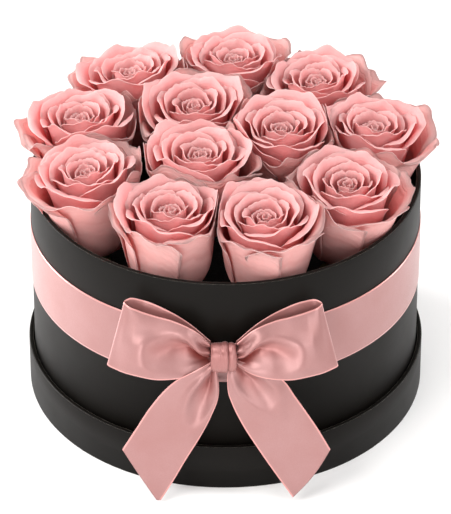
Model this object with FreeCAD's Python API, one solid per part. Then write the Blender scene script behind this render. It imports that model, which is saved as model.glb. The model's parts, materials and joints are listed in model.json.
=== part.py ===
"""Round flower box: twelve preserved roses stand in dry foam in a paper-covered board box, and the box
stands in its own upturned lid. A satin ribbon with a bow goes round the box.

Frame: +Z is up and the origin is on the table, at the middle of the upturned lid. The bow is at the front,
towards -Y. All sizes are in millimetres and all angles in degrees.
"""

import FreeCAD, Part

import math
import os

from FreeCAD import Placement, Rotation, Vector

# Box: a board tube with a board floor, covered in paper that is turned in over the rim.
BOX_OUTER_D = 210.0
BOX_H = 128.5  # from the box's own underside to its rim
BOARD_T = 2.2
PAPER_T = 0.25
TURN_IN = 20.0  # how far the paper runs down inside the rim

# Lid, worn upside down as a stand.
LID_H = 27.0
LID_BOARD_T = 2.0
LID_GAP = 0.6  # all round, between the box and the lid's lining
LID_TURN_IN = 16.0

# Foam that the stems are pushed into.
FOAM_GAP = 0.3  # all round, inside the box's wall
FOAM_BELOW_RIM = 40.0
FOAM_CHAMFER = 1.5
HOLE_CLEARANCE = 0.06  # radial, round each stem
HOLE_EXTRA_DEPTH = 2.0  # below each stem's tip

# Roses. Each flower is narrow inside the box and opens out above the rim.
OUTER_ROSES = 9
INNER_ROSES = 3
BLOOM_H = 50.0
BLOOM_BASE_R = 5.5
BLOOM_WAIST_R = 20.5
BLOOM_R = 31.0
ROSE_TO_RIM = 3.9
ROSE_TO_ROSE = 0.5
OUTER_BUD_ABOVE_RIM = 22.0
INNER_BUD_ABOVE_RIM = 29.0
OUTER_LEAN = 6.0
OUTER_START = -113.5  # where round the ring the first outer rose stands
INNER_START = -118.0
HIP_H = 8.0
HIP_R = 6.0
SEPALS = 5
SEPAL_TIP_R = 18.0
SEPAL_T = 0.8
STEM_R = 2.4
STEM_IN_FOAM = 50.0
STEM_CUT = 40.0  # slant of the cut end

# Ribbon: one length round the box, lapped at the back, and a bow at the front.
RIBBON_W = 35.0
RIBBON_T = 0.45
BAND_BELOW_RIM = 27.0  # from the rim to the band's upper edge
LAP = 18.0
TAPE_T = 0.1

KNOT_W = 14.0
KNOT_H = 18.6
KNOT_D = 12.0
KNOT_ROUND = 1.2
KNOT_OFFSET_X = -1.0
KNOT_ABOVE_BAND_MIDDLE = 3.0
PAD_SIZE = 9.0  # the glue pad between the band and the knot
PAD_T = 1.1

BOW_CLOTH_T = 0.8
LOOP_REACH = 50.5  # sideways from the knot's middle to the fold, at the upper edge
LOOP_DEPTH = 8.0
LOOP_WALL_GAP = 1.0
LOOP_FOLD_OFF = 4.0  # how much further the loop stands off the box at its fold
LOOP_RAKE = 0.33  # how far the fold runs outwards for each millimetre down
LOOP_LEAN = 0.28  # how far the loop stands forward for each millimetre down

TAIL_FLOOR_GAP = 2.5  # from the table to the lowest point of a tail
TAIL_SPREAD = 54.5  # sideways from the knot's middle to a tail's outer corner
TAIL_OUT = 9.5  # how far a tail's end stands forward of its top

# What follows from those sizes.
BOX_R = BOX_OUTER_D / 2
WALL_R = BOX_R - PAPER_T
WALL_INNER_R = WALL_R - BOARD_T
BOX_INNER_R = WALL_INNER_R - PAPER_T
LID_PANEL_TOP = PAPER_T + LID_BOARD_T
BOX_BOTTOM = LID_PANEL_TOP
RIM_Z = BOX_BOTTOM + BOX_H
LID_INNER_R = BOX_R + LID_GAP
LID_RIM_INNER_R = LID_INNER_R + PAPER_T
LID_RIM_R = LID_RIM_INNER_R + LID_BOARD_T
LID_R = LID_RIM_R + PAPER_T
FLOOR_BOTTOM = BOX_BOTTOM + PAPER_T
FLOOR_TOP = FLOOR_BOTTOM + BOARD_T
FOAM_TOP = RIM_Z - FOAM_BELOW_RIM

BAND_TOP = RIM_Z - BAND_BELOW_RIM
BAND_BOTTOM = BAND_TOP - RIBBON_W
BAND_R = BOX_R + RIBBON_T
KNOT_Z = (BAND_TOP + BAND_BOTTOM) / 2 + KNOT_ABOVE_BAND_MIDDLE
KNOT_BACK_Y = -(BAND_R + PAD_T)
LOOP_TOP = KNOT_Z + 0.72 * RIBBON_W
LOOP_BOTTOM = KNOT_Z - 0.30 * RIBBON_W

UP = Vector(0, 0, 1)


def disc(radius, bottom, top):
    return Part.makeCylinder(radius, top - bottom, Vector(0, 0, bottom))


def ring(outer_r, inner_r, bottom, top):
    return disc(outer_r, bottom, top).cut(disc(inner_r, bottom, top))


def turned(points):
    """The solid that a closed outline of (radius, height) points makes when it is turned about +Z."""
    outline = Part.makePolygon([Vector(r, 0, z) for r, z in points + points[:1]])
    return Part.Face(outline).revolve(Vector(0, 0, 0), UP, 360)


def smooth_edge(points):
    curve = Part.BSplineCurve()
    curve.interpolate(points)
    return curve.toShape()


def mirrored(shape):
    """A copy for the bow's other side, across the plane through the knot's middle."""
    return shape.mirror(Vector(KNOT_OFFSET_X, 0, 0), Vector(1, 0, 0))


def save(name, shape):
    shape.exportStep("parts/" + name + ".step")


# Board and paper


def paper_cover(outer_r, board_inner_r, bottom, top, turn_in):
    """Paper on the outside of a board ring, over its upper edge and a little way down its inside."""
    inner_r = board_inner_r - PAPER_T
    return turned(
        [
            (outer_r - PAPER_T, bottom),
            (outer_r, bottom),
            (outer_r, top),
            (inner_r, top),
            (inner_r, top - turn_in),
            (board_inner_r, top - turn_in),
            (board_inner_r, top - PAPER_T),
            (outer_r - PAPER_T, top - PAPER_T),
        ]
    )


def make_lid():
    save("lid_face_paper", disc(LID_R, 0, PAPER_T))
    save("lid_panel", disc(LID_RIM_INNER_R, PAPER_T, LID_PANEL_TOP))
    save("lid_rim", ring(LID_RIM_R, LID_RIM_INNER_R, PAPER_T, LID_H - PAPER_T))
    save("lid_side_paper", paper_cover(LID_R, LID_RIM_INNER_R, PAPER_T, LID_H, LID_TURN_IN))


def make_box():
    save("box_base_paper", disc(WALL_R, BOX_BOTTOM, FLOOR_BOTTOM))
    save("box_floor", disc(WALL_INNER_R, FLOOR_BOTTOM, FLOOR_TOP))
    save("box_wall", ring(WALL_R, WALL_INNER_R, FLOOR_BOTTOM, RIM_Z - PAPER_T))
    save("box_side_paper", paper_cover(BOX_R, WALL_INNER_R, BOX_BOTTOM, RIM_Z, TURN_IN))


# Roses


def rose_places():
    """The base point and the direction of each rose, the outer ring first. Outer roses lean outwards."""
    lean = math.radians(OUTER_LEAN)
    at_rim = BOX_INNER_R - BLOOM_WAIST_R / math.cos(lean) - ROSE_TO_RIM
    outer_r = at_rim + OUTER_BUD_ABOVE_RIM * math.tan(lean)
    # The inner roses stand as far from each other as from the ring.
    inner_r = outer_r / (1 + 2 * math.sin(math.pi / INNER_ROSES))
    rings = [
        (OUTER_ROSES, OUTER_START, outer_r, lean, OUTER_BUD_ABOVE_RIM),
        (INNER_ROSES, INNER_START, inner_r, 0.0, INNER_BUD_ABOVE_RIM),
    ]
    places = []
    for count, start, radius, tilt, above_rim in rings:
        for number in range(count):
            turn = math.radians(start + number * 360.0 / count)
            outwards = Vector(math.cos(turn), math.sin(turn), 0)
            direction = outwards * math.sin(tilt) + UP * math.cos(tilt)
            bud = outwards * radius + UP * (RIM_Z + above_rim)
            places.append((bud - direction * BLOOM_H, direction))
    return places


def standing(shape, place):
    """The shape, which was made about +Z at the origin, moved to a rose's place."""
    base, direction = place
    return shape.transformed(Placement(base, Rotation(UP, direction)).toMatrix())


def bloom_shape():
    """A closed cup, as it is before its neighbours press it: narrow up to the rim, wide and crowned above."""
    side = [
        (BLOOM_BASE_R, 0.0),
        (0.60 * BLOOM_WAIST_R, 0.08 * BLOOM_H),
        (0.82 * BLOOM_WAIST_R, 0.24 * BLOOM_H),
        (0.96 * BLOOM_WAIST_R, 0.46 * BLOOM_H),
        (1.06 * BLOOM_WAIST_R, 0.63 * BLOOM_H),
        (0.88 * BLOOM_R, 0.76 * BLOOM_H),
        (BLOOM_R, 0.87 * BLOOM_H),
        (0.90 * BLOOM_R, 0.96 * BLOOM_H),
        (0.50 * BLOOM_R, 0.995 * BLOOM_H),
        (0.25 * BLOOM_R, BLOOM_H),
    ]
    edges = [
        Part.makeLine(Vector(0, 0, 0), Vector(BLOOM_BASE_R, 0, 0)),
        smooth_edge([Vector(r, 0, z) for r, z in side]),
        Part.makeLine(Vector(side[-1][0], 0, BLOOM_H), Vector(0, 0, BLOOM_H)),
        Part.makeLine(Vector(0, 0, BLOOM_H), Vector(0, 0, 0)),
    ]
    return Part.Face(Part.Wire(edges)).revolve(Vector(0, 0, 0), UP, 360)


def beyond(point, towards):
    """A block that fills the far side of the upright plane through a point."""
    size = 4 * BLOOM_R
    block = Part.makeBox(size, 2 * size, 2 * size, Vector(0, -size, -size))
    return block.transformed(Placement(point, Rotation(Vector(1, 0, 0), towards)).toMatrix())


def pressed_bloom(places, number):
    """A bloom with a flat wherever it would meet a neighbour."""
    buds = [base + direction * BLOOM_H for base, direction in places]
    bloom = standing(bloom_shape(), places[number])
    for other, bud in enumerate(buds):
        apart = Vector(bud.x - buds[number].x, bud.y - buds[number].y, 0)
        if other == number or apart.Length > 2 * BLOOM_R + ROSE_TO_ROSE:
            continue
        towards = apart.normalize()
        middle = (buds[number] + bud) / 2 - towards * ROSE_TO_ROSE / 2
        bloom = bloom.cut(beyond(middle, towards))
    return bloom


def calyx_shape():
    """The hip under the flower, with a flat star of sepals."""
    hip = turned([(0, 0), (BLOOM_BASE_R, 0), (HIP_R, -0.3 * HIP_H), (0.85 * HIP_R, -0.7 * HIP_H),
                  (STEM_R, -HIP_H), (0, -HIP_H)])
    star = []
    for point in range(2 * SEPALS):
        turn = math.pi * point / SEPALS
        radius = SEPAL_TIP_R if point % 2 == 0 else BLOOM_BASE_R
        star.append(Vector(radius * math.cos(turn), radius * math.sin(turn), -2 * SEPAL_T))
    plate = Part.Face(Part.makePolygon(star + star[:1])).extrude(UP * SEPAL_T)
    return hip.fuse(plate).removeSplitter()


def bare_stem(place):
    """How much of a stem shows between the hip and the foam."""
    base, direction = place
    return (base.z - FOAM_TOP) / direction.z - HIP_H


def stem_shape(place):
    length = bare_stem(place) + STEM_IN_FOAM
    stem = Part.makeCylinder(STEM_R, length, Vector(0, 0, -HIP_H - length))
    knife = Part.makeBox(8 * STEM_R, 8 * STEM_R, 8 * STEM_R, Vector(-STEM_R, -4 * STEM_R, -8 * STEM_R))
    slant = Placement(Vector(-STEM_R, 0, -HIP_H - length), Rotation(Vector(0, 1, 0), -STEM_CUT))
    return stem.cut(knife.transformed(slant.toMatrix()))


def stem_hole(place):
    """The hole that a stem makes in the foam, open at the top."""
    radius = STEM_R + HOLE_CLEARANCE
    depth = HIP_H + bare_stem(place) + STEM_IN_FOAM + HOLE_EXTRA_DEPTH
    return Part.makeCylinder(radius, depth, Vector(0, 0, -depth))


def make_foam(places):
    foam_r = WALL_INNER_R - FOAM_GAP
    foam = turned([(0, FLOOR_TOP), (foam_r, FLOOR_TOP), (foam_r, FOAM_TOP - FOAM_CHAMFER),
                   (foam_r - FOAM_CHAMFER, FOAM_TOP), (0, FOAM_TOP)])
    for place in places:
        foam = foam.cut(standing(stem_hole(place), place))
    save("foam_block", foam)


def make_roses(places):
    for number, place in enumerate(places):
        name = "rose_%02d_" % (number + 1)
        save(name + "bloom", pressed_bloom(places, number))
        save(name + "calyx", standing(calyx_shape(), place))
        save(name + "stem", standing(stem_shape(place), place))


# Ribbon


def make_band():
    """The ribbon round the box. Its outer end laps over its inner end at the back, on a strip of tape."""
    half_turn = math.degrees(LAP / BAND_R) / 2
    lap_inner_r = BAND_R + TAPE_T

    def back_arc(outer_r, inner_r):
        arc = Part.makeCylinder(outer_r, RIBBON_W, Vector(0, 0, BAND_BOTTOM), UP, 2 * half_turn)
        arc = arc.cut(disc(inner_r, BAND_BOTTOM, BAND_TOP))
        arc.rotate(Vector(0, 0, 0), UP, 90 - half_turn)
        return arc

    save("ribbon_band", ring(BAND_R, BOX_R, BAND_BOTTOM, BAND_TOP))
    save("ribbon_lap_tape", back_arc(lap_inner_r, BAND_R))
    save("ribbon_lap_end", back_arc(lap_inner_r + RIBBON_T, lap_inner_r))


def knot_shape():
    """The wrap round the middle of the bow: an oval roll, lying across, with its ends rounded over."""
    left = Vector(KNOT_OFFSET_X - KNOT_W / 2, KNOT_BACK_Y - KNOT_D / 2, KNOT_Z)
    oval = Part.Ellipse(left + UP * KNOT_H / 2, left - Vector(0, KNOT_D / 2, 0), left)
    roll = Part.Face(Part.Wire(oval.toShape())).extrude(Vector(KNOT_W, 0, 0))
    ends = [edge for edge in roll.Edges if edge.BoundBox.XLength < 0.1]
    return roll.makeFillet(KNOT_ROUND, ends)


def pad_shape(knot):
    """Glue pad, curved to the band at the back and to the knot at the front."""
    corner = Vector(KNOT_OFFSET_X - PAD_SIZE / 2, KNOT_BACK_Y - KNOT_D / 2, KNOT_Z - PAD_SIZE / 2)
    pad = Part.makeBox(PAD_SIZE, KNOT_D, PAD_SIZE, corner)
    return pad.cut(disc(BAND_R, 0, RIM_Z)).cut(knot)


def clear_of_wall(x, gap):
    """How far forward the ribbon's outside is at a distance x from the middle, with a gap added."""
    return -math.sqrt((BAND_R + gap) ** 2 - x * x)


def loop_profile(inset):
    """The loop seen from above, as a closed face: along the wall, round the fold and back to the knot."""
    reach = LOOP_REACH - inset

    def behind(share):
        return clear_of_wall(share * reach, LOOP_WALL_GAP + share * share * LOOP_FOLD_OFF + inset)

    def before(share, depth):
        return behind(share) + 2 * inset - depth * LOOP_DEPTH

    back = [(share * reach, behind(share)) for share in (-0.30, 0.0, 0.30, 0.60, 0.86)]
    fold = (reach, behind(0.92) + inset - 0.36 * LOOP_DEPTH)
    front = [(share * reach, before(share, depth))
             for share, depth in ((0.88, 0.74), (0.62, 1.0), (0.32, 0.86), (0.0, 0.45), (-0.30, 0.40))]
    curve = Part.BSplineCurve()
    curve.interpolate([Vector(x, y, LOOP_TOP) for x, y in back + [fold] + front], PeriodicFlag=True)
    return Part.Face(Part.Wire(curve.toShape()))


def loop_shape(knot):
    """The right loop: a band of ribbon that leans against the box and is pinched at the knot."""
    fall = LOOP_TOP - LOOP_BOTTOM
    path = Vector(LOOP_RAKE * fall, -LOOP_LEAN * fall, -fall)
    band = loop_profile(0).extrude(path).cut(loop_profile(BOW_CLOTH_T).extrude(path))
    side = KNOT_W / 2 - KNOT_ROUND
    far = 1.6 * LOOP_REACH
    lower = [(side, 0.62), (0.52 * LOOP_REACH, 0.62), (0.90 * LOOP_REACH, 0.84), (1.06 * LOOP_REACH, 0.90),
             (1.22 * LOOP_REACH, 0.74), (far, 0.60)]
    upper = [(far, 1.0), (0.98 * LOOP_REACH, 1.0), (0.80 * LOOP_REACH, 0.97), (0.54 * LOOP_REACH, 0.78),
             (0.30 * LOOP_REACH, 0.46), (side, 0.27)]
    outline = [Vector(x, 0, KNOT_Z + part * (LOOP_BOTTOM - KNOT_Z)) for x, part in lower]
    outline += [Vector(x, 0, KNOT_Z + part * (LOOP_TOP - KNOT_Z)) for x, part in upper]
    window = Part.Face(Part.makePolygon(outline + outline[:1])).extrude(Vector(0, -2 * BOX_R, 0))
    loop = band.common(window)
    loop.translate(Vector(KNOT_OFFSET_X, 0, 0))
    return loop.cut(knot)


def tail_shape(knot):
    """The right tail: a flat of ribbon that fans out below the knot and is cut off aslant."""
    top_z = KNOT_Z - KNOT_H / 2
    drop = top_z - TAIL_FLOOR_GAP
    top_y = KNOT_BACK_Y - 0.6 * KNOT_D

    def at(across, down):
        """A point a share of the spread to the side and a share of the drop down."""
        forward = TAIL_OUT * math.sin(0.5 * math.pi * min(1.0, max(0.0, down)))
        return Vector(KNOT_OFFSET_X + across * TAIL_SPREAD, top_y - forward, top_z - down * drop)

    outer = [at(0.12, -0.05), at(0.51, 0.065), at(0.676, 0.196), at(0.844, 0.386), at(1.0, 0.58)]
    inner = [at(0.03, -0.04), at(0.04, 0.09), at(0.114, 0.267), at(0.197, 0.424), at(0.367, 0.638),
             at(0.51, 0.82), at(0.65, 1.0)]
    cloth = Part.makeRuledSurface(smooth_edge(outer), smooth_edge(inner))
    return cloth.extrude(Vector(0, -BOW_CLOTH_T, 0)).cut(knot)


def make_bow():
    knot = knot_shape()
    loop = loop_shape(knot)
    tail = tail_shape(knot)
    save("bow_glue_pad", pad_shape(knot))
    save("bow_knot", knot)
    save("bow_loop_right", loop)
    save("bow_loop_left", mirrored(loop))
    save("bow_tail_right", tail)
    save("bow_tail_left", mirrored(tail))


def main():
    os.makedirs("parts", exist_ok=True)
    places = rose_places()
    make_lid()
    make_box()
    make_foam(places)
    make_roses(places)
    make_band()
    make_bow()


main()
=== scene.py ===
"""Looks of the round flower box: twelve roses in a black box with a satin ribbon and bow.

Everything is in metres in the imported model's frame: +Z up, the bow towards -Y. Most lengths are written in
millimetres and multiplied by MM. Those of the lights, the floor and the ribbon's flat strips are in metres.
"""

import json
import math

import bpy
import numpy as np
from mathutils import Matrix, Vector


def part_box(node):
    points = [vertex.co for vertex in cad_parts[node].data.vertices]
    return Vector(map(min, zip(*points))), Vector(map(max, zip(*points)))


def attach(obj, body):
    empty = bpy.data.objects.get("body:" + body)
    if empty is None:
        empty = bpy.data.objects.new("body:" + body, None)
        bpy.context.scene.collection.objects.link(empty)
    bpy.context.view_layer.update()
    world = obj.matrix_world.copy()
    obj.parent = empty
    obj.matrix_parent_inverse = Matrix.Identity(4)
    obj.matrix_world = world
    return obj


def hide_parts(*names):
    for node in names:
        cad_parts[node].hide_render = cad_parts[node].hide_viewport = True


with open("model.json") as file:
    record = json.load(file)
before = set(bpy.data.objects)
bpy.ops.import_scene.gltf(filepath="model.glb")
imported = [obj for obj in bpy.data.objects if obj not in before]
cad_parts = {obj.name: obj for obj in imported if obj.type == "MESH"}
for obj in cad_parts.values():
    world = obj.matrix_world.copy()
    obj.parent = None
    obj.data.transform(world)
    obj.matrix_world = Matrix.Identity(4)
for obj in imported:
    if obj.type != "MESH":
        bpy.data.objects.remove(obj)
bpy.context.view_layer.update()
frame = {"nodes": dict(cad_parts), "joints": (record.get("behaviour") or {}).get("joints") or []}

MM = 0.001


# The camera and the studio. The camera's distance, height and lens were fitted to the photo.

LOOK_AT = Vector((0, 0, 65.7 * MM))
CAMERA_DISTANCE = 2178 * MM
CAMERA_ELEVATION = math.radians(35.27)
LENS = 279.4
SHIFT_UP = 0.0253
WORLD_STRENGTH = 0.36
FLOOR_HALF = 6.0  # half the floor's width


def make_camera():
    """The camera in front of the bow, looking down at the box."""
    data = bpy.data.cameras.new("camera")
    data.lens = LENS
    data.shift_y = SHIFT_UP
    data.clip_start, data.clip_end = 0.1, 50
    camera = bpy.data.objects.new("camera", data)
    back = Vector((0, -math.cos(CAMERA_ELEVATION), math.sin(CAMERA_ELEVATION)))
    camera.location = LOOK_AT + back * CAMERA_DISTANCE
    camera.rotation_mode = "QUATERNION"
    camera.rotation_quaternion = (-back).to_track_quat("-Z", "Y")
    bpy.context.scene.collection.objects.link(camera)
    bpy.context.scene.camera = camera


def add_softbox(name, place, size, power, colour=(1, 1, 1)):
    """A rectangular soft light, power in watts, that faces the box."""
    data = bpy.data.lights.new(name, "AREA")
    data.shape = "RECTANGLE"
    data.size, data.size_y = size
    data.energy = power
    data.color = colour
    light = bpy.data.objects.new(name, data)
    light.location = place
    light.rotation_mode = "QUATERNION"
    light.rotation_quaternion = (LOOK_AT - Vector(place)).to_track_quat("-Z", "Y")
    bpy.context.scene.collection.objects.link(light)


def make_studio():
    """The even pale surroundings, the softboxes and the floor."""
    world = bpy.data.worlds.new("studio")
    world.use_nodes = True
    background = world.node_tree.nodes["Background"]
    background.inputs["Color"].default_value = (1, 0.99, 0.98, 1)
    background.inputs["Strength"].default_value = WORLD_STRENGTH
    bpy.context.scene.world = world
    bpy.context.scene.view_settings.view_transform = "Standard"
    add_softbox("key", (-0.95, -0.95, 1.20), (0.8, 0.8), 17.0, (1, 0.985, 0.965))
    add_softbox("overhead", (0.15, -0.1, 1.8), (1.6, 1.6), 16)
    add_softbox("left_side", (-1.4, 0.45, 0.50), (0.6, 1.0), 33)
    add_softbox("right_side", (1.4, 0.40, 0.50), (0.4, 0.9), 15)
    add_softbox("fill", (0.9, -1.4, 0.8), (1.0, 1.0), 11)
    add_softbox("low_front", (-0.48, -1.5, 0.22), (0.45, 0.5), 6)
    make_floor()


def make_floor():
    """A plain pale floor."""
    mesh = bpy.data.meshes.new("floor")
    corners = [(x * FLOOR_HALF, y * FLOOR_HALF, 0) for x, y in ((-1, -1), (1, -1), (1, 1), (-1, 1))]
    mesh.from_pydata(corners, [], [(0, 1, 2, 3)])
    floor = bpy.data.objects.new("floor", mesh)
    bpy.context.scene.collection.objects.link(floor)
    mesh.materials.append(floor_material())


# Materials

class Shader:
    """A material with one Principled shader, and short ways to add and join nodes."""

    def __init__(self, name, **values):
        """values are the shader's own inputs, by their names in small letters with _ for a space."""
        self.material = bpy.data.materials.new(name)
        self.material.use_nodes = True
        self.tree = self.material.node_tree
        self.surface = self.tree.nodes["Principled BSDF"]
        for key, value in values.items():
            socket = next(s for s in self.surface.inputs if s.name.lower() == key.replace("_", " "))
            socket.default_value = value

    def add(self, kind, **settings):
        """A new node of a kind, with its settings."""
        node = self.tree.nodes.new("ShaderNode" + kind)
        for key, value in settings.items():
            setattr(node, key, value)
        return node

    def join(self, source, target):
        """Links an output to an input."""
        self.tree.links.new(source, target)

    def fill(self, socket, value):
        """Joins a socket to another, or sets its value."""
        if isinstance(value, bpy.types.NodeSocket):
            self.join(value, socket)
        else:
            socket.default_value = value

    def maths(self, operation, first, second=0.0):
        """The result of a sum on one or two values."""
        node = self.add("Math", operation=operation)
        self.fill(node.inputs[0], first)
        self.fill(node.inputs[1], second)
        return node.outputs[0]

    def mix(self, share, first, second):
        """A colour between two. The Mix node's colour sockets are inputs 6 and 7 and output 2."""
        node = self.add("Mix", data_type="RGBA")
        self.fill(node.inputs["Factor"], share)
        self.fill(node.inputs[6], first)
        self.fill(node.inputs[7], second)
        return node.outputs[2]

    def noise(self, scale, detail, roughness=0.55, where=None, stretch=None):
        """A noise from 0 to 1, on the object's own coordinates unless where says otherwise."""
        node = self.add("TexNoise")
        node.inputs["Scale"].default_value = scale
        node.inputs["Detail"].default_value = detail
        node.inputs["Roughness"].default_value = roughness
        if where is None:
            where = self.add("TexCoord").outputs["Object"]
        if stretch:
            mapping = self.add("Mapping")
            mapping.inputs["Scale"].default_value = stretch
            self.join(where, mapping.inputs["Vector"])
            where = mapping.outputs[0]
        self.join(where, node.inputs["Vector"])
        return node.outputs["Fac"]

    def spread(self, value, low, high, to_low=0.0, to_high=1.0):
        """A value's range from low to high, stretched to reach from to_low to to_high."""
        node = self.add("MapRange")
        self.join(value, node.inputs["Value"])
        for key, number in zip(("From Min", "From Max", "To Min", "To Max"), (low, high, to_low, to_high)):
            node.inputs[key].default_value = number
        return node.outputs[0]

    def bump(self, height, depth, strength):
        """Relief: depth is in metres for a height of 1."""
        node = self.add("Bump")
        node.inputs["Strength"].default_value = strength
        node.inputs["Distance"].default_value = depth
        self.join(height, node.inputs["Height"])
        before = self.surface.inputs["Normal"].links
        if before:
            self.join(before[0].from_socket, node.inputs["Normal"])
        self.join(node.outputs[0], self.surface.inputs["Normal"])

    def colour(self, socket):
        """Gives the surface its colour."""
        self.join(socket, self.surface.inputs["Base Color"])

    def roughness(self, socket):
        """Gives the surface its roughness."""
        self.join(socket, self.surface.inputs["Roughness"])


def rgba(red, green, blue):
    """A linear colour from display values of 11 to 255."""
    return tuple(((v / 255 + 0.055) / 1.055) ** 2.4 for v in (red, green, blue)) + (1,)


def floor_material():
    """A pale matt floor, very slightly uneven."""
    shader = Shader("floor", roughness=0.9)
    shade = shader.noise(3.0, 2.0)
    shader.colour(shader.mix(shade, (0.93, 0.925, 0.92, 1), (0.95, 0.945, 0.94, 1)))
    return shader.material


PETAL_MIDDLE = rgba(244, 184, 184)
# The deep colour: partly the petals' own deeper pink towards their foot, partly painted shade deep inside
# the bloom.
PETAL_DEEP = rgba(245, 134, 135)
PETAL_PALE = rgba(247, 203, 202)
PETAL_VEIN = rgba(237, 162, 161)
PETAL_OLD = rgba(240, 206, 200)
PETAL_RIM = rgba(253, 228, 225)
PETAL_CREASE = rgba(214, 134, 128)


def petal_material():
    """Preserved petal: pink, paler at the rolled rim, deeper towards the base (partly its own colour, partly
    painted shade deep in the bloom), with fine veins along it.
    """
    shader = Shader("petal", roughness=0.75, specular_ior_level=0.2)
    marks = shader.add("Attribute", attribute_name="petal")
    parts = shader.add("SeparateColor")
    shader.join(marks.outputs["Color"], parts.inputs[0])
    rim, depth, shade = parts.outputs[:3]
    along = shader.add("UVMap", uv_map="petal").outputs[0]
    veins = shader.noise(1.0, 4.0, 0.6, where=along, stretch=(64, 2.4, 1))
    blotch = shader.noise(110, 3.0)
    # Deeper towards the base: partly the petal's own deeper pink, partly painted shade deep inside the
    # bloom.
    colour = shader.mix(shader.spread(depth, 0.05, 0.7), PETAL_MIDDLE, PETAL_DEEP)
    colour = shader.mix(shader.spread(blotch, 0.35, 0.7, 0.0, 0.35), colour, PETAL_PALE)
    colour = shader.mix(shader.spread(veins, 0.45, 0.72, 0.0, 0.36), colour, PETAL_VEIN)
    mottle = shader.noise(520, 4.0, 0.7)
    colour = shader.mix(shader.spread(mottle, 0.45, 0.68, 0.0, 0.35), colour, PETAL_PALE)
    colour = shader.mix(shader.maths("MULTIPLY", shade, 0.3), colour, PETAL_PALE)
    colour = shader.mix(shader.maths("MULTIPLY", marks.outputs["Alpha"], 0.65), colour, PETAL_OLD)
    colour = shader.mix(rim, colour, PETAL_RIM)
    wrinkles = shader.noise(1.0, 3.0, 0.6, where=along, stretch=(24, 2.6, 1))
    creased = shader.maths("MULTIPLY", marks.outputs["Alpha"], shader.spread(depth, 0.45, 0.95, 0.1, 0.6))
    creased = shader.maths("MULTIPLY", creased, shader.spread(wrinkles, 0.48, 0.62))
    colour = shader.mix(creased, colour, PETAL_CREASE)
    shader.colour(colour)
    shader.bump(veins, 0.5 * MM, 0.6)
    shader.bump(shader.noise(260, 4.0), 0.25 * MM, 0.35)
    shader.bump(shader.maths("MULTIPLY", wrinkles, marks.outputs["Alpha"]), 1.8 * MM, 0.9)
    back = shader.add("BsdfTranslucent")
    shader.fill(back.inputs["Color"], shader.mix(0.3, colour, PETAL_DEEP))
    both = shader.add("MixShader")
    both.inputs[0].default_value = 0.44
    shader.join(shader.surface.outputs[0], both.inputs[1])
    shader.join(back.outputs[0], both.inputs[2])
    shader.join(both.outputs[0], shader.tree.nodes["Material Output"].inputs["Surface"])
    return shader.material


def paper_material():
    """Black wrapping paper with a soft sheen and a fine tooth."""
    shader = Shader("black_paper", roughness=0.46, specular_ior_level=0.09)
    cloud = shader.noise(22, 4.0)
    shader.colour(shader.mix(cloud, (0.0042, 0.0034, 0.0028, 1), (0.0066, 0.0054, 0.0044, 1)))
    shader.roughness(shader.spread(cloud, 0.3, 0.7, 0.42, 0.50))
    shader.bump(shader.noise(2600, 2.0), 0.02 * MM, 0.35)
    return shader.material


def board_material():
    """Grey board with coarse fibres."""
    shader = Shader("greyboard", roughness=0.9)
    fibres = shader.noise(700, 5.0)
    shader.colour(shader.mix(fibres, (0.13, 0.115, 0.095, 1), (0.24, 0.22, 0.19, 1)))
    shader.bump(fibres, 0.1 * MM, 0.4)
    return shader.material


def foam_material():
    """Black floral foam with small open cells."""
    shader = Shader("black_foam", roughness=0.95, specular_ior_level=0.2)
    cells = shader.add("TexVoronoi")
    cells.inputs["Scale"].default_value = 900
    shader.join(shader.add("TexCoord").outputs["Object"], cells.inputs["Vector"])
    shader.colour(shader.mix(cells.outputs["Distance"], (0.012, 0.012, 0.012, 1), (0.035, 0.034, 0.033, 1)))
    shader.bump(cells.outputs["Distance"], 0.5 * MM, 0.7)
    return shader.material


def green_material(name, dark, light):
    """A green plant skin between two colours, with a grain that runs up it."""
    shader = Shader(name, roughness=0.6, specular_ior_level=0.35)
    grain = shader.noise(300, 4.0, stretch=(1, 1, 0.25))
    shader.colour(shader.mix(shader.spread(grain, 0.35, 0.65), dark, light))
    shader.bump(grain, 0.3 * MM, 0.5)
    return shader.material


SATIN = rgba(162, 116, 114)
SATIN_DEEP = rgba(154, 103, 100)
SATIN_LIGHT = rgba(175, 133, 131)
SATIN_EDGE = rgba(226, 158, 153)
# The colour of the painted shade in the ribbon's creases, in the knot and on the loops' backs.
SATIN_PAINTED_SHADE = rgba(150, 66, 58)


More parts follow.
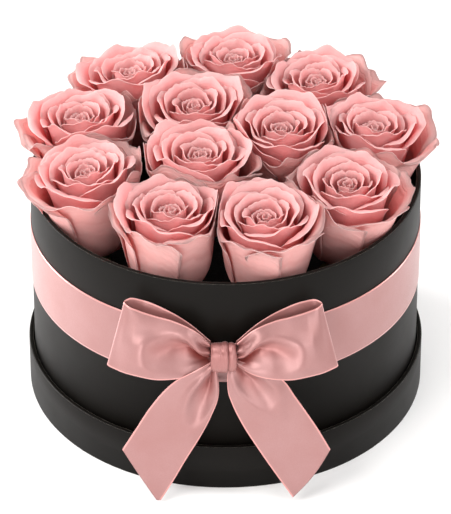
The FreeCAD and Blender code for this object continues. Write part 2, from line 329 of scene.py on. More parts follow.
def satin_material():
    """Woven satin: fine threads along it, a soft wide gloss, a brighter selvedge along both edges, and
    painted shade in its folds.
    """
    shader = Shader("satin", roughness=0.38, metallic=0.35, sheen_weight=0.20, sheen_roughness=0.35,
                    specular_ior_level=1.0, anisotropic=0.60, anisotropic_rotation=0.25)
    place = shader.add("UVMap", uv_map="ribbon").outputs[0]
    parts = shader.add("SeparateXYZ")
    shader.join(place, parts.inputs[0])
    edge = shader.maths("ABSOLUTE", shader.maths("SUBTRACT", parts.outputs["Y"], 0.5))
    selvedge = shader.spread(edge, 0.470, 0.488)
    threads = shader.noise(1.0, 2.0, 0.5, where=place, stretch=(30, 300, 1))
    cloud = shader.noise(45, 3.0)
    grain = shader.noise(1500, 2.0)
    colour = shader.mix(shader.spread(cloud, 0.3, 0.7), SATIN_DEEP, SATIN)
    colour = shader.mix(shader.spread(threads, 0.3, 0.75, 0.0, 0.30), colour, SATIN_LIGHT)
    colour = shader.mix(shader.spread(grain, 0.35, 0.7, 0.0, 0.25), colour, SATIN_DEEP)
    # Painted shade: the fold attribute darkens the satin towards a deep red in its creases, in the knot and
    # on the loops' backs.
    fold = shader.add("Attribute", attribute_name="fold").outputs["Fac"]
    colour = shader.mix(shader.maths("MULTIPLY", fold, 0.9), colour, SATIN_PAINTED_SHADE)
    colour = shader.mix(shader.maths("MULTIPLY", selvedge, 0.85), colour, SATIN_EDGE)
    shader.colour(colour)
    shader.roughness(shader.spread(grain, 0.3, 0.7, 0.34, 0.43))
    shader.bump(threads, 0.02 * MM, 0.25)
    shader.bump(grain, 0.03 * MM, 0.2)
    warp = shader.add("Tangent", direction_type="UV_MAP", uv_map="ribbon")
    shader.join(warp.outputs[0], shader.surface.inputs["Tangent"])
    return shader.material


def tape_material():
    """Clear double-sided tape, slightly cloudy."""
    shader = Shader("tape", roughness=0.25, transmission_weight=0.4)
    cloud = shader.noise(90, 3.0)
    shader.colour(shader.mix(cloud, (0.72, 0.70, 0.64, 1), (0.86, 0.85, 0.80, 1)))
    shader.bump(shader.noise(400, 2.0), 0.05 * MM, 0.3)
    return shader.material


# Meshes

def new_piece(name, vertices, faces, material):
    """A smooth mesh object in the scene, with its material."""
    mesh = bpy.data.meshes.new(name)
    mesh.from_pydata([tuple(v) for v in vertices], [], faces)
    mesh.validate()
    mesh.polygons.foreach_set("use_smooth", [True] * len(mesh.polygons))
    mesh.materials.append(material)
    piece = bpy.data.objects.new(name, mesh)
    bpy.context.scene.collection.objects.link(piece)
    return piece


def grid_faces(rows, columns, first=0):
    """Quads of a grid of points, row by row."""
    corner = first + (np.arange(rows - 1)[:, None] * columns + np.arange(columns - 1)[None, :]).ravel()
    return np.stack([corner, corner + 1, corner + columns + 1, corner + columns], 1)


def thicken(piece, thickness):
    """Gives a surface its thickness, half to each side."""
    solid = piece.modifiers.new("thickness", "SOLIDIFY")
    solid.thickness = thickness
    solid.offset = 0


def give_uv(mesh, name, places):
    """A UV map with one flat place for each vertex."""
    loops = np.zeros(len(mesh.loops), np.int32)
    mesh.loops.foreach_get("vertex_index", loops)
    mesh.uv_layers.new(name=name).data.foreach_set("uv", places[loops].astype(np.float32).ravel())


def round_axis(radius, turn, height):
    """Points at radii and heights round the +Z axis."""
    return np.stack([radius * np.cos(turn), radius * np.sin(turn), height + 0 * radius * turn], -1)


# Roses

def bezier(points, share):
    """The place and the unit direction at a share of a cubic curve through (r, z) points."""
    share = share[..., None]
    p0, p1, p2, p3 = (np.array(p, float) for p in points)
    rest = 1 - share
    place = rest ** 3 * p0 + 3 * rest ** 2 * share * p1 + 3 * rest * share ** 2 * p2 + share ** 3 * p3
    slope = rest ** 2 * (p1 - p0) + 2 * rest * share * (p2 - p1) + share ** 2 * (p3 - p2)
    return place, slope / np.linalg.norm(slope, axis=-1, keepdims=True)


def wave(rng, across, low, high):
    """A smooth random line along u, between about -1 and 1, from a few waves of low to high number."""
    total = np.zeros_like(across)
    weight = 0.0
    for number in range(low, high + 1):
        size = rng.uniform(0.5, 1.0) / math.sqrt(number)
        total += size * np.sin(number * math.pi * across + rng.uniform(0, 2 * math.pi))
        weight += size * size
    return total / math.sqrt(2 * weight)


ACROSS, ALONG = 33, 23  # points on each petal, across it and from its foot to its rim
PETAL_LENGTH = 56.0
NICKS = 0.007  # how deep the small nicks in a petal's rim are, as a share of its length
EDGE_FADE = 0.40  # how far in from every edge the paler line fades
RIM_FADE = 4.5  # how far down from the rim the paler colour fades
DEEP_BELOW = 30  # how far below the rim the petal's colour is deepest: partly its own deeper pink, partly painted shade deep in the bloom


def petal_outline(rng, u, drop, tip):
    """How far up the petal reaches at each place across it, as a share of its length."""
    outline = 1 - drop * np.abs(u) ** 4.5 + tip * (np.exp(-(u / 0.16) ** 2) - 0.4)
    return outline + 0.012 * wave(rng, u, 1, 3) + NICKS * wave(rng, u, 7, 11)


def petal_line(rng, u, along, outline, profile, lip, lip_turn):
    """The radius and height of each point: up the profile, and then round the lip that rolls outwards."""
    share = lip / PETAL_LENGTH
    place, ahead = bezier(profile, np.clip(np.minimum(along, outline - share) / (1 - share), 0, 1.1))
    outward = np.stack([ahead[..., 1], -ahead[..., 0]], -1)
    rolled = np.clip((along - outline + share) / share, 0, 1)
    bend = lip_turn * (1 - 0.6 * np.exp(-(u / 0.2) ** 2)) * (1 + 0.35 * wave(rng, u, 1, 3))
    bend = np.clip(bend * (1 - 0.8 * u ** 6), 0.05, 2.9)
    place = place + ahead * (lip * np.sin(bend * rolled) / bend)[..., None]
    return place + outward * (lip * (1 - np.cos(bend * rolled)) / bend)[..., None]


def petal_marks(rng, to_rim, to_side, share_up, age):
    """The colour marks of each point: paleness at the rim, depth below it (which deepens the colour, partly
    as painted shade), the petal's own tone and its age.
    """
    inside = np.minimum(to_rim, to_side)
    rim = 0.50 * np.exp(-inside / EDGE_FADE) * share_up ** 3 + 0.42 * np.exp(-to_rim / RIM_FADE)
    # How far down into the bloom a point lies: it deepens the colour, partly the petal's own deeper pink and
    # partly painted shade.
    depth = np.clip(to_rim / DEEP_BELOW, 0, 1)
    shade = np.full_like(share_up, rng.uniform(0, 1))
    return np.stack([np.clip(rim, 0, 1), depth, shade, np.full_like(shade, age)], -1)


def petal(rng, turn, reach, height, cup, foot, half_angle, lip, lip_turn, drop, tip, whorl, curl, ruffle,
          start=0.0, age=0.0, low=0.62):
    """One petal, in millimetres: a grid of points with the colour marks and the flat place of each point.

    The petal stands on foot, swells to about the cup's radius, and ends at reach and height. Its last lip
    millimetres roll outwards by lip_turn. u runs across from -1 to 1; along runs from start to the rim.
    """
    u = np.linspace(-1, 1, ACROSS)[None, :]
    rows = 1 - (1 - np.linspace(0, 1, ALONG)[:, None]) ** 2.1
    outline = petal_outline(rng, u, drop, tip)
    along = start + (outline - start) * rows
    profile = ((foot, 0.5), (1.22 * cup, 3.0), (0.90 * cup, low * height), (reach, height))
    place = petal_line(rng, u, along, outline, profile, lip, lip_turn)
    share_up = np.clip(along / outline, 0, 1)
    late = share_up ** 6
    sides = np.where(u > 0, rng.uniform(0.2, 1.6), rng.uniform(0.2, 1.6))
    r = place[..., 0] + whorl * u * share_up + curl * sides * np.abs(u) ** 5 * share_up ** 3
    r = r + ruffle * late * wave(rng, u, 2, 4) + 0.30 * share_up * wave(rng, u, 1, 2)
    z = place[..., 1] + 0.6 * ruffle * late * wave(rng, u, 1, 3)
    r = np.maximum(r, 0.25)
    width = 0.30 + 0.70 * np.sin(0.5 * math.pi * np.clip(along / 0.55, 0, 1))
    points = round_axis(r, turn + half_angle * u * width, z)
    to_rim = (outline - along) * PETAL_LENGTH
    to_side = (1 - np.abs(u)) * half_angle * np.maximum(r, 3)
    marks = petal_marks(rng, to_rim, to_side, share_up, age)
    side = 0.5 + 0.5 * u * width * max(reach, 6) / 25 + rng.uniform(0, 9)
    uv = np.stack([side, along + rng.uniform(0, 9)], -1)
    return points.reshape(-1, 3), marks.reshape(-1, 4), uv.reshape(-1, 2)


GOLDEN = math.radians(137.5)
CORE, BODY, GUARD = 6, 13, 6  # petals of each sort on a head


def rose_petals(rng, flare):
    """The petals of one head, from the tight core to the guard petals, which reach flare further out."""
    petals = []
    turn = rng.uniform(0, 2 * math.pi)
    for number in range(CORE):
        t = number / (CORE - 1)
        turn += GOLDEN + rng.uniform(-0.3, 0.3)
        petals.append(petal(rng, turn, reach=1.3 + 4.6 * t, height=48.2 + 0.6 * t + rng.uniform(-0.4, 0.4),
                            cup=2.5 + 5.0 * t, foot=0.8, half_angle=math.radians(125 - 35 * t),
                            lip=1.5, lip_turn=0.5 + 0.7 * t, drop=0.07, tip=0.01, start=0.45, whorl=0.7,
                            curl=0.3, ruffle=0.3))
    for number in range(BODY):
        t = number / (BODY - 1)
        turn += GOLDEN + rng.uniform(-0.15, 0.15)
        reach = 7.4 + 17.6 * t ** 1.05 + rng.uniform(-0.4, 0.4)
        height = 49.6 + 1.8 * math.sin(math.pi * min(1, 0.05 + 0.75 * t)) + rng.uniform(-0.5, 0.5)
        petals.append(petal(rng, turn, reach=reach, height=height, cup=9.2 + 9.6 * t, foot=1.5 + 2.5 * t,
                            half_angle=math.radians(86 - 18 * t + rng.uniform(-6, 6)), lip=2.6 + 3.4 * t,
                            lip_turn=0.9 + 0.6 * t + rng.uniform(-0.25, 0.35), drop=0.10 + 0.05 * t,
                            tip=0.015 + 0.025 * t, start=0.35 * (1 - t), whorl=1.2 + 0.8 * t,
                            curl=0.8 + 0.6 * t, ruffle=0.30 + 0.25 * t))
    turn = rng.uniform(0, 2 * math.pi)
    for number in range(GUARD):
        turn += 2 * math.pi / GUARD + rng.uniform(-0.2, 0.2)
        petals.append(petal(rng, turn, reach=27.4 + flare + rng.uniform(-0.8, 1.0),
                            height=48.4 - 0.5 * flare + rng.uniform(-2.2, 0.8),
                            cup=21.6, foot=4.5, half_angle=math.radians(52 + rng.uniform(-4, 5)),
                            lip=5.0 + rng.uniform(-0.8, 1.2), lip_turn=1.5 + rng.uniform(-0.4, 0.5),
                            drop=0.18, tip=0.045, whorl=1.8, curl=1.2, ruffle=0.9, age=1.0, low=0.66))
    return petals


ROSES = 12
PETAL_T = 0.24  # thickness
HIP_H = 8.0 * MM
HEAD_H = 50 * MM
PRESS_FROM = 4.5 * MM  # a head starts to give this far from where it meets its neighbour
PRESS_GAP = 0.35 * MM
NEIGHBOUR = 80 * MM  # roses further apart than this don't touch
FRONT_ROSES = (1, 2)  # the two in front, which are less open
FRONT_FLARE, FLARE = 0.0, 3.6  # millimetres further out that the guard petals reach
# How far each head's middle has swayed from its stem's line, to the right and to the back, in millimetres.
SWAY = {1: (3.6, 4.8), 2: (-2.2, 2.6), 3: (-2.0, 0.2), 4: (0.0, 1.6), 5: (-5.2, -2.0), 6: (0.0, -1.1),
        7: (-4.2, 2.2), 8: (0.2, 0.8), 9: (-2.0, 3.6), 10: (0.9, -0.7), 11: (1.1, -2.0), 12: (-1.3, -3.6)}


def press_in(points, centre, others):
    """Squeezes a head wherever it would reach past the upright plane halfway to a neighbour."""
    for other in others:
        apart = other - centre
        gap = np.linalg.norm(apart[:2])
        if gap > NEIGHBOUR:
            continue
        towards = np.array([apart[0], apart[1], 0]) / gap
        limit = gap / 2 - PRESS_GAP
        reach = (points - centre) @ towards
        over = np.maximum(reach - (limit - PRESS_FROM), 0)
        kept = PRESS_FROM * (1 - np.exp(-over / PRESS_FROM))
        points = points - (over - kept)[:, None] * towards
        points[:, 2] += 0.35 * (over - kept)
    return points


def make_rose(number, seats, petal_look):
    """One rose's head, made about +Z, stood on its stem and pressed in by its neighbours."""
    name, base, bud, _ = seats[number - 1]
    rng = np.random.default_rng(100 + number)
    petals = rose_petals(rng, FRONT_FLARE if number in FRONT_ROSES else FLARE)
    points = np.concatenate([p for p, _, _ in petals]) * MM
    marks = np.concatenate([m for _, m, _ in petals])
    uvs = np.concatenate([t for _, _, t in petals])
    stand = (bud - base).to_track_quat("Z", "Y").to_matrix()
    points = points @ np.array(stand).T + np.array(base)
    others = [np.array(b) for i, (_, _, b, _) in enumerate(seats) if i != number - 1]
    points = press_in(points, np.array(bud), others)
    size = ACROSS * ALONG
    faces = np.concatenate([grid_faces(ALONG, ACROSS, k * size) for k in range(len(petals))])
    bloom = new_piece(name + "_petals", points, faces.tolist(), petal_look)
    mesh = bloom.data
    colours = mesh.color_attributes.new("petal", "FLOAT_COLOR", "POINT")
    colours.data.foreach_set("color", marks.astype(np.float32).ravel())
    give_uv(mesh, "petal", uvs)
    thicken(bloom, PETAL_T * MM)
    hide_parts(name + "_bloom")
    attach(bloom, name)


def rose_seat(number):
    """A rose's body name, the base of its head on top of the hip, and the middle of its top."""
    name = "rose_%02d" % number
    joint = next(j for j in frame["joints"] if j["child"] == name)
    axis = Vector(joint["axis"]).normalized()
    points = np.array([v.co for v in frame["nodes"][name + "_stem"].data.vertices])
    up = points @ np.array(axis)
    top = Vector(points[up > up.max() - 0.05 * MM].mean(0))
    base = top + axis * HIP_H
    sway = Vector(SWAY[number] + (0,)) * MM
    return name, base, base + axis * HEAD_H + sway, axis


def make_roses():
    """All the roses, each with its head, calyx and stalk."""
    petal_look = petal_material()
    seats = [rose_seat(number) for number in range(1, ROSES + 1)]
    green = green_material("calyx_green", rgba(66, 78, 40), rgba(104, 118, 66))
    stem = green_material("stem_green", rgba(72, 78, 42), rgba(104, 110, 68))
    for number in range(1, ROSES + 1):
        make_rose(number, seats, petal_look)
        _, base, _, axis = seats[number - 1]
        make_calyx(number, base, axis, green)
        make_stalk(number, base, axis, stem)


# The ribbon

CLOTH = 0.4  # thickness
RIBBON_W = 35.0
# Points along and across each strip of ribbon.
LOOP_GRID = (161, 57)
TAIL_GRID = (121, 49)
KNOT_GRID = (72, 97)
BAND_GRID = (541, 29)
MIDDLE_X = -1.0  # of the bow


def spline(points, count):
    """A smooth line through points, at count places evenly spread by length."""
    points = np.array(points, float)
    at = np.concatenate([[0], np.cumsum(np.linalg.norm(np.diff(points, axis=0), axis=1))])
    slopes = np.gradient(points, at, axis=0)
    where = np.linspace(0, at[-1], count)
    i = np.clip(np.searchsorted(at, where) - 1, 0, len(at) - 2)
    h = (at[i + 1] - at[i])[:, None]
    x = (where - at[i])[:, None] / h
    return (points[i] * (1 + 2 * x) * (1 - x) ** 2 + points[i + 1] * x * x * (3 - 2 * x)
            + h * slopes[i] * x * (1 - x) ** 2 - h * slopes[i + 1] * x * x * (1 - x))


def smooth(value, low, high):
    """Rises smoothly from 0 at low to 1 at high."""
    x = np.clip((value - low) / (high - low), 0, 1)
    return x * x * (3 - 2 * x)


def hump(value, middle, width):
    """A smooth bump of height 1 at middle."""
    return np.exp(-((value - middle) / width) ** 2)


def ruled(first, second, across):
    """A grid of points from one edge of the ribbon to the other."""
    t = np.linspace(0, 1, across)[None, :, None]
    return first[:, None, :] * (1 - t) + second[:, None, :] * t


def raised(grid, height):
    """The grid moved along its own normals, which are turned to face the viewer of the bow."""
    along, over = np.gradient(grid, axis=0), np.gradient(grid, axis=1)
    normal = np.cross(along, over)
    normal /= np.linalg.norm(normal, axis=-1, keepdims=True)
    if normal[len(grid) // 4, grid.shape[1] // 2, 1] > 0:
        normal = -normal
    return grid + normal * height[..., None]


def ribbon_piece(name, grid, material, closed=False, fold=None):
    """A strip of ribbon from a grid of points in millimetres, with its flat place as a UV map.

    fold says how deep in a crease each point lies, from 0 to 1, where the cloth's colour is darkened as
    painted shade.
    """
    rows, columns = grid.shape[:2]
    faces = grid_faces(rows, columns).tolist()
    if closed:
        last = (rows - 1) * columns
        faces += [[last + c, last + c + 1, c + 1, c] for c in range(columns - 1)]
    piece = new_piece(name, grid.reshape(-1, 3) * MM, faces, material)
    step = np.linalg.norm(np.diff(grid[:, columns // 2], axis=0), axis=1)
    run = np.concatenate([[0], np.cumsum(step)]) / RIBBON_W
    u = np.repeat(run, columns)
    v = np.tile(np.linspace(0, 1, columns), rows)
    mesh = piece.data
    give_uv(mesh, "ribbon", np.stack([u, v], 1))
    # The painted shade of each point, kept as the fold attribute.
    depth = np.zeros(rows * columns) if fold is None else np.clip(fold, 0, 1).ravel()
    mesh.attributes.new("fold", "FLOAT", "POINT").data.foreach_set("value", depth.astype(np.float32))
    thicken(piece, CLOTH * MM)
    return piece


def mirrored_line(points, side, lift=0.0, spread=0.0):
    """Points given outwards from the bow's middle, on the side asked for, the outermost moved a little."""
    outermost = max(x for x, _, _ in points)
    return [(MIDDLE_X + side * (x + spread * x / outermost), y, z + lift * (x / outermost) ** 2)
            for x, y, z in points]


# The loop's two edges from the knot out and back, as (out from the bow's middle, y, z) in millimetres.
LOOP_TOP_EDGE = [(7.2, -110.6, 97.6), (15.2, -110.4, 105.6), (26.6, -107.8, 109.8), (35.0, -105.8, 111.0),
                 (43.5, -104.0, 112.9), (49.4, -102.4, 114.9), (50.9, -100.4, 115.6), (48.4, -98.4, 116.4),
                 (41.7, -98.2, 115.4), (30.9, -101.4, 112.8), (18.5, -104.8, 106.6), (6.6, -108.2, 97.0)]
LOOP_LOW_EDGE = [(6.8, -114.6, 84.6), (15.2, -117.0, 81.2), (26.8, -118.6, 79.5), (35.1, -118.2, 79.0),
                 (43.4, -116.6, 79.8), (54.0, -112.6, 80.6), (59.6, -108.6, 81.6), (56.5, -105.2, 81.6),
                 (44.0, -105.0, 81.2), (31.0, -106.0, 81.2), (18.0, -108.4, 82.6), (6.4, -109.6, 84.4)]
LEFT_LIFT, LEFT_SPREAD = 1.0, 0.6  # how much higher and further out the left loop's end is than the right's


def loop_relief(rows, columns, side):
    """How far the loop's cloth stands forward, a bulge above a deep fold from the knot, and how much painted
    shade it gets.

    w runs from the knot out to the loop's end at 1 and back behind it to 2; t runs from the upper edge down.
    """
    w = np.linspace(0, 2.0, rows)[:, None] + np.zeros((1, columns))
    t = np.linspace(0, 1, columns)[None, :] + np.zeros((rows, 1))
    lip = 0.62 - 0.28 * smooth(w, 0.0, 0.30) + 0.10 * smooth(w, 0.36, 0.64)
    lip = lip + (0.02 if side > 0 else -0.02)
    below = t - lip
    soft = 0.035 + 0.16 * smooth(w, 0.12, 0.50)
    ends = 1 - smooth(w, 0.40, 0.72)
    fold = -6.6 * smooth(below, -soft, soft) * np.exp(-np.maximum(below, 0) / 0.27) * ends
    bulge = 1.7 * hump(below, -0.13, 0.15) * smooth(w, 0.02, 0.2) * (1 - smooth(w, 0.26, 0.60))
    crescent = 1.5 * hump(w - 0.70 + 0.9 * (t - 0.60) ** 2, 0, 0.12)
    crescent = crescent * smooth(t, 0.2, 0.5) * (1 - smooth(t, 0.8, 1))
    puff = 3.0 * np.sin(math.pi * t) ** 0.7 * smooth(w, 0.1, 0.6) * (1 - smooth(w, 0.78, 0.99))
    pleats = 1.1 * np.exp(-w / 0.12) * np.sin(2 * math.pi * 3.6 * t + 0.8 * side)
    pleats = pleats + 0.7 * np.exp(-w / 0.24) * np.sin(2 * math.pi * 2.1 * t + 1.9 + 0.5 * side)
    front = fold + bulge + crescent + puff + pleats
    back_pleats = 0.4 * np.exp(-(2 - w) / 0.12) * np.sin(2 * math.pi * 3 * t)
    relief = np.where(w < 1, front * (1 - smooth(w, 0.90, 0.98)), -back_pleats * 0.5)
    # Painted shade: darker under the lip and next to the knot, and the loop's back half a little darker all
    # over.
    dark = 1.3 * hump(below, 0.09, 0.14) * np.exp(-w / 0.40) + 0.6 * np.exp(-w / 0.08)
    return relief, np.where(w < 1, dark * (1 - smooth(w, 0.5, 0.8)), 0.35)


def make_loop(side, name, material):
    """One loop of the bow, out from the knot and back. side is 1 for the right and -1 for the left."""
    lift, spread = (0.0, 0.0) if side > 0 else (LEFT_LIFT, LEFT_SPREAD)
    rows, columns = LOOP_GRID
    top = spline(mirrored_line(LOOP_TOP_EDGE, side, lift, spread), rows)
    low = spline(mirrored_line(LOOP_LOW_EDGE, side, 0.8 * lift, 1.6 * spread), rows)
    relief, fold = loop_relief(rows, columns, side)
    grid = raised(ruled(top, low, columns), relief)
    loop = ribbon_piece(name + "_satin", grid, material, fold=fold)
    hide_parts(name)
    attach(loop, "box")


# Each tail's inner and outer edge, from the knot down, given in the same way.
TAIL_IN_RIGHT = [(4.5, -112.6, 85.5), (2.2, -113.6, 80.6), (1.9, -114.6, 75.4), (2.3, -115.6, 69.5),
                 (4.4, -116.8, 62.7), (9.8, -118.7, 50.6), (18.3, -120.6, 35.6), (28.9, -122.1, 17.2),
                 (36.7, -122.5, 4.1)]
TAIL_OUT_RIGHT = [(6.6, -112.6, 87.5), (14.0, -112.8, 85.0), (23.5, -113.4, 81.0), (31.2, -114.4, 76.2),
                  (37.4, -116.0, 66.9), (44.4, -117.9, 55.8), (50.6, -119.4, 45.4), (56.1, -120.6, 35.2)]
TAIL_IN_LEFT = [(4.6, -115.0, 85.8), (3.2, -116.4, 81.8), (2.7, -117.3, 77.5), (3.1, -118.5, 67.8),
                (6.3, -119.6, 58.1), (11.7, -120.9, 45.5), (20.2, -122.2, 29.0), (26.5, -122.8, 15.7),
                (34.4, -123.0, 0.6)]
TAIL_OUT_LEFT = [(6.6, -115.6, 89.2), (11.0, -117.6, 87.4), (16.5, -118.2, 84.2), (24.6, -117.6, 78.6),
                 (31.6, -118.1, 71.3), (38.5, -119.2, 61.7), (45.5, -120.5, 49.2), (53.2, -121.7, 36.0)]
TAIL_FLOOR_GAP = 2.7


def tail_relief(rows, columns, side):
    """Soft folds down from the knot that end in a hollow, a slow wave to the cut end, and how much painted
    shade it gets.

    s runs down the tail and t across it, both from 0 to 1.
    """
    s = np.linspace(0, 1, rows)[:, None] + np.zeros((1, columns))
    t = np.linspace(0, 1, columns)[None, :] + np.zeros((rows, 1))
    middle = 0.45 + 0.10 * side
    reach = np.sqrt(((s - 0.19) / 0.25) ** 2 + ((t - middle - 0.2 * side * (s - 0.2)) / 0.26) ** 2)
    hollow = -2.4 * (1 - smooth(reach, 0.10, 1.15)) * smooth(s, 0.0, 0.14)
    rim = 1.5 * hump(reach, 1.20, 0.32) * smooth(s, 0.02, 0.2)
    crease = -1.5 * hump(t - middle - 0.5 * side * (s - 0.08), 0, 0.08)
    crease = crease * smooth(s, 0, 0.05) * (1 - smooth(s, 0.12, 0.32))
    pleats = 1.0 * np.exp(-s / 0.10) * np.sin(2 * math.pi * 2.6 * t + 1.1 * side)
    wave_down = 1.0 * np.sin(math.pi * (1.6 * s + 0.3 * t)) * smooth(s, 0.4, 0.8)
    # Painted shade: darker in the hollow and next to the knot.
    dark = 0.55 * (1 - smooth(reach, 0.2, 1.0)) * (1 - smooth(s, 0.15, 0.42)) + 0.5 * np.exp(-s / 0.06)
    return hollow + rim + crease + pleats + wave_down, dark


def make_tail(side, name, material):
    """One tail of the bow, down from the knot to its slanted cut end, kept clear of the floor."""
    inner, outer = (TAIL_IN_RIGHT, TAIL_OUT_RIGHT) if side > 0 else (TAIL_IN_LEFT, TAIL_OUT_LEFT)
    rows, columns = TAIL_GRID
    first = spline(mirrored_line(inner, side), rows)
    second = spline(mirrored_line(outer, side), rows)
    grid = ruled(first, second, columns)
    t = np.linspace(0, 1, columns)[None, :]
    s = np.linspace(0, 1, rows)[:, None]
    outward = 1.2 if side > 0 else 0.2
    bow = outward * np.sin(math.pi * t) * smooth(s, 0.8, 1.0)
    grid = grid + np.stack([side * bow, 0 * bow, -bow], -1)
    relief, fold = tail_relief(rows, columns, side)
    grid = raised(grid, relief)
    grid[..., 2] = np.maximum(grid[..., 2], TAIL_FLOOR_GAP)
    tail = ribbon_piece(name + "_satin", grid, material, fold=fold)
    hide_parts(name)
    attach(tail, "box")


KNOT_MIDDLE = (-112.55, 89.6)  # y and z
KNOT_HALF = (5.4, 8.5)  # half its depth and half its height
# Across the knot: the ribbon's sideways place and how far it lies under or over the knot's surface.
KNOT_PLEATS = [(-2.0, -1.5), (-5.0, -1.5), (-6.8, -1.1), (-7.0, -0.5), (-6.2, 0.1), (-4.0, 0.5),
               (-1.8, 0.45), (-0.2, 0.1), (-0.3, -0.7), (-1.4, -0.9), (-1.6, -0.3), (-0.7, 0.6),
               (0.5, 1.1), (1.6, 1.0), (2.3, 0.3), (1.6, -0.7), (1.9, -1.0), (3.2, -0.2),
               (4.8, 0.4), (6.2, 0.1), (6.9, -0.5), (6.6, -1.1), (4.8, -1.5), (2.2, -1.5)]


def make_knot(material):
    """The middle of the bow: a ribbon folded lengthwise into three pleats and wrapped round the loops."""
    rows, columns = KNOT_GRID
    lines = spline([(x, 0, d) for x, d in KNOT_PLEATS], columns)
    sideways, under = lines[None, :, 0], lines[None, :, 2]
    turn = np.linspace(0, 2 * math.pi, rows, endpoint=False)[:, None]
    over = under * (1 + 0.25 * np.sin(2 * turn + 0.7))
    over = over + 0.18 * np.sin(3 * turn + 0.5 * sideways)
    x = 0.93 * sideways * (1 + 0.04 * np.cos(2 * turn)) + 0.25 * np.sin(2 * turn + 1)
    over = 0.85 * over + 0.10 * np.sin(5.3 * sideways + turn) + 0.10 * np.sin(9.1 * sideways)
    shoulder = 0.9 * (np.abs(x) / 7.0) ** 4
    y = KNOT_MIDDLE[0] - (KNOT_HALF[0] + over - shoulder) * np.cos(turn)
    z = KNOT_MIDDLE[1] + (KNOT_HALF[1] + over - shoulder) * np.sin(turn)
    grid = np.stack([MIDDLE_X + x, y, z], -1)
    # Painted shade: the whole knot a little darker, and darker still where the pleats tuck under.
    fold = 0.42 + 0.6 * smooth(-under, 0.0, 0.9) + 0 * turn
    knot = ribbon_piece("bow_knot_satin", grid, material, closed=True, fold=fold)
    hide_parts("bow_knot")
    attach(knot, "box")


def make_band(material):
    """The band round the box, one strip whose end laps over its start at the back."""
    low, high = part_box("ribbon_band")
    radius = high.x / MM - 0.5 * CLOTH
    lap_low, lap_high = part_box("ribbon_lap_end")
    lap = (lap_high.x - lap_low.x) / MM / radius
    rows, columns = BAND_GRID
    turn = np.linspace(0, 2 * math.pi + 0.9 * lap, rows)
    start = 0.5 * math.pi - 0.45 * lap
    rise = 0.62 * smooth(turn, 2 * math.pi - 0.08, 2 * math.pi - 0.005)
    across = np.linspace(0, 1, columns)[None, :]
    angle = start + turn[:, None] + 0 * across
    from_knot = np.hypot(radius * np.cos(angle) - MIDDLE_X, 60 * (np.sin(angle) + 1))
    pinch = 1 - smooth(from_knot, 3.0, 24.0)
    pleats = 0.35 * pinch * (1 + np.sin(2 * math.pi * 4 * across))
    r = radius + rise[:, None] + 0.10 * np.sin(math.pi * across) + pleats
    height = (low.z + (high.z - low.z) * across * (1 - 0.31 * pinch)) / MM
    grid = round_axis(r, angle, height)
    band = ribbon_piece("ribbon_band_satin", grid, material)
    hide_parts("ribbon_band", "ribbon_lap_end")
    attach(band, "box")


def make_ribbon():
    """The band, the two loops, the two tails and the knot."""
    satin = satin_material()
    make_band(satin)
    make_loop(1, "bow_loop_right", satin)
    make_loop(-1, "bow_loop_left", satin)
    make_tail(1, "bow_tail_right", satin)
    make_tail(-1, "bow_tail_left", satin)
    make_knot(satin)


# The covering papers

PAPER = 0.25  # thickness
RIM_ROUND = 0.8
PAPER_LAP = 12.0
PAPER_TURNS, RIM_STEPS = 361, 7  # points round the box, and over each corner of the rim
BOX_LINING_R, BOX_TURN_IN = 102.3, 20.0  # the paper's inside radius, and how far down inside it runs
LID_LINING_R, LID_TURN_IN = 105.6, 16.0


def make_paper(node, name, body, inner, turn_in, material):
    """A paper up the outside, over a rounded rim and down inside, with a lapped seam at the back."""
    low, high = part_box(node)
    outer, top = high.x / MM - 0.5 * PAPER, high.z / MM - 0.5 * PAPER
    bottom, inside = low.z / MM, inner + 0.5 * PAPER
    bend = np.linspace(0, 0.5 * math.pi, RIM_STEPS)
    section = [(outer, bottom), (outer, top - 4)]
    section += [(outer - RIM_ROUND * (1 - math.cos(a)), top - RIM_ROUND * (1 - math.sin(a))) for a in bend]
    section += [(inside + RIM_ROUND * (1 - math.sin(a)), top - RIM_ROUND * (1 - math.cos(a))) for a in bend]
    section += [(inside, top - turn_in)]
    r, z = np.array(section).T
    lap = PAPER_LAP / outer
    turn = 0.5 * math.pi - 0.5 * lap + np.linspace(0, 2 * math.pi + lap, PAPER_TURNS)[:, None]
    rise = 1.1 * PAPER * smooth(turn - turn[0], 2 * math.pi - 0.006, 2 * math.pi)
    outwards = np.where(r > 0.5 * (outer + inside), 1, -1)[None, :]
    r = r[None, :] + rise * outwards
    z = z[None, :] + rise * ((z > top - 0.01)[None, :])
    grid = round_axis(r, turn, z)
    faces = grid_faces(*grid.shape[:2]).tolist()
    paper = new_piece(name, grid.reshape(-1, 3) * MM, faces, material)
    thicken(paper, PAPER * MM)
    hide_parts(node)
    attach(paper, body)


# Calyx and stalk under each rose

SEPALS = 5
SEPAL_LENGTH = 15.0
SEPAL_HALF_W = 2.7
SEPAL_T = 0.5  # thickness
HIP_BOTTOM = -7.4  # where the stalk starts, below the head's base
HIP_ROWS, HIP_TURNS = 15, 33
SEPAL_ROWS, SEPAL_ACROSS = 15, 9
STALK_ROWS, STALK_TURNS = 61, 25
# The hip's side from the bottom up, as (radius, height).
HIP_SIDE = [(2.4, -8.0), (3.1, -7.4), (5.0, -5.8), (5.9, -3.6), (5.6, -1.6), (5.0, -0.5), (5.6, 0.2)]


def standing(points, base, axis):
    """Points in millimetres, made about +Z with their origin at the base of a head, moved to their rose."""
    turned = np.array(axis.to_track_quat("Z", "Y").to_matrix())
    return points @ turned.T * MM + np.array(base)


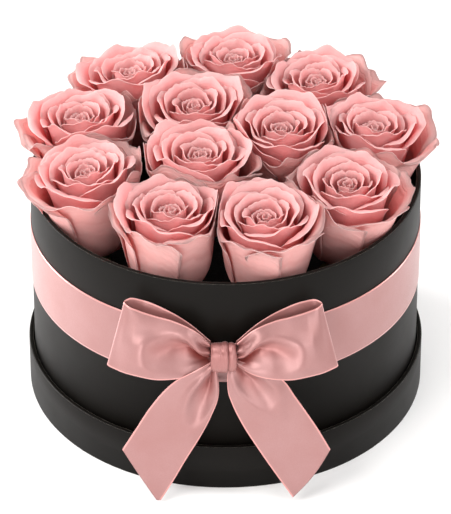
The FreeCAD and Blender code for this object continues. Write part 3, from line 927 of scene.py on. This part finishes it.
def sepal_points(rng, number):
    """A sepal that leaves the top of the hip, bends out and then down, and ends in a point."""
    along = np.linspace(0, 1, SEPAL_ROWS)[:, None]
    across = np.linspace(-1, 1, SEPAL_ACROSS)[None, :]
    middle = number * 2 * math.pi / SEPALS + rng.uniform(-0.15, 0.15)
    droop = rng.uniform(0.9, 1.5)
    lean = 0.15 + droop * along
    out = 4.6 + SEPAL_LENGTH * np.sin(lean) / (droop + 0.6) * along ** 0.8
    height = -0.6 - 3.4 * along ** 2 + 0.5 * np.abs(across) * (1 - along)
    half = SEPAL_HALF_W * np.maximum(np.sin(math.pi * (0.22 + 0.78 * along)) ** 0.8, 0.02)
    side = half * across + 0.5 * np.sin(3 * along + number) * along
    x = out * math.cos(middle) - side * math.sin(middle)
    y = out * math.sin(middle) + side * math.cos(middle)
    return np.stack([x, y, height], -1).reshape(-1, 3)


def make_calyx(number, base, axis, material):
    """The hip, and five pointed sepals that bend out and down from its top."""
    rng = np.random.default_rng(300 + number)
    turn = np.linspace(0, 2 * math.pi, HIP_TURNS)[None, :]
    r, z = spline(HIP_SIDE, HIP_ROWS).T
    swell = r[:, None] * (1 + 0.03 * np.sin(5 * turn))
    hip = round_axis(swell, turn, z[:, None]).reshape(-1, 3)
    points = np.concatenate([hip] + [sepal_points(rng, sepal) for sepal in range(SEPALS)])
    faces = grid_faces(HIP_ROWS, HIP_TURNS).tolist()
    for sepal in range(SEPALS):
        first = len(hip) + sepal * SEPAL_ROWS * SEPAL_ACROSS
        faces += grid_faces(SEPAL_ROWS, SEPAL_ACROSS, first).tolist()
    name = "rose_%02d" % number
    calyx = new_piece(name + "_sepals", standing(points, base, axis), faces, material)
    thicken(calyx, SEPAL_T * MM)
    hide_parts(name + "_calyx")
    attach(calyx, name)


def make_stalk(number, base, axis, material):
    """A stalk that narrows a little, with old leaf scars and a slanted cut."""
    name = "rose_%02d" % number
    rng = np.random.default_rng(500 + number)
    stem = np.array([v.co for v in frame["nodes"][name + "_stem"].data.vertices])
    foot = ((stem @ np.array(axis)).min() - np.array(base) @ np.array(axis)) / MM
    turn = np.linspace(0, 2 * math.pi, STALK_TURNS)[None, :]
    down = np.linspace(0, 1, STALK_ROWS)[:, None]
    cut = foot + 2.0 * (1 + np.cos(turn))
    z = HIP_BOTTOM + down * (cut - HIP_BOTTOM)
    scar = sum(0.22 * hump(z, rng.uniform(-50, -14), 0.9) for _ in range(3))
    r = 2.12 - 0.12 * down + np.minimum(scar, 0.25) + 0.04 * np.sin(4 * turn + 3 * down)
    ends = np.array([[0, 0, foot + 2.0], [0, 0, HIP_BOTTOM]])
    points = np.concatenate([round_axis(r, turn, z).reshape(-1, 3), ends])
    last_row, foot_end = (STALK_ROWS - 1) * STALK_TURNS, STALK_ROWS * STALK_TURNS
    faces = grid_faces(STALK_ROWS, STALK_TURNS).tolist()
    faces += [[last_row + k + 1, last_row + k, foot_end] for k in range(STALK_TURNS - 1)]
    faces += [[k, k + 1, foot_end + 1] for k in range(STALK_TURNS - 1)]
    stalk = new_piece(name + "_stalk", standing(points, base, axis), faces, material)
    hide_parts(name + "_stem")
    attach(stalk, name)


# The CAD pieces that are shown as they are

def dress(names, material):
    """Gives CAD pieces their material."""
    for name in names:
        mesh = frame["nodes"][name].data
        mesh.materials.clear()
        mesh.materials.append(material)


def main():
    """Builds the whole scene."""
    make_camera()
    make_studio()
    make_roses()
    make_ribbon()
    paper = paper_material()
    make_paper("box_side_paper", "box_side_cover", "box", BOX_LINING_R, BOX_TURN_IN, paper)
    make_paper("lid_side_paper", "lid_side_cover", "lid", LID_LINING_R, LID_TURN_IN, paper)
    dress(["lid_face_paper", "box_base_paper"], paper)
    dress(["lid_panel", "lid_rim", "box_floor", "box_wall"], board_material())
    dress(["foam_block"], foam_material())
    dress(["ribbon_lap_tape", "bow_glue_pad"], tape_material())


main()
